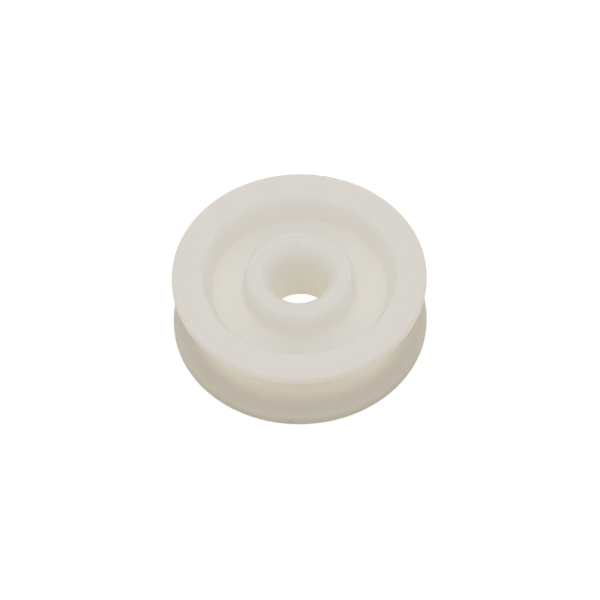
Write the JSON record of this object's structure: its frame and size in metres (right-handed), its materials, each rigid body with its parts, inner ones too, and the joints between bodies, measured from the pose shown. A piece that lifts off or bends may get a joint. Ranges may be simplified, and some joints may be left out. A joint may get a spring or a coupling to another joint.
{
  "type": "pulley sheave",
  "caption": "Plain rope sheave moulded in natural nylon: a round-bottomed groove between flanges, a recess in each face and a hub with a chamfered bore for its pin.",
  "frame": {"origin": "on the axis, at the middle of the bore and halfway across the rope groove", "axes": "+Z along the axis, up out of the hub's end, with the sheave lying on the other end of its hub; +X and +Y are any two directions across the round"},
  "size_m": [0.045, 0.045, 0.015],
  "materials": {
    "natural_nylon": "as-moulded satin, slightly translucent, undyed"
  },
  "bodies": {
    "root": {"sheave": "natural_nylon"}
  },
  "joints": []
}
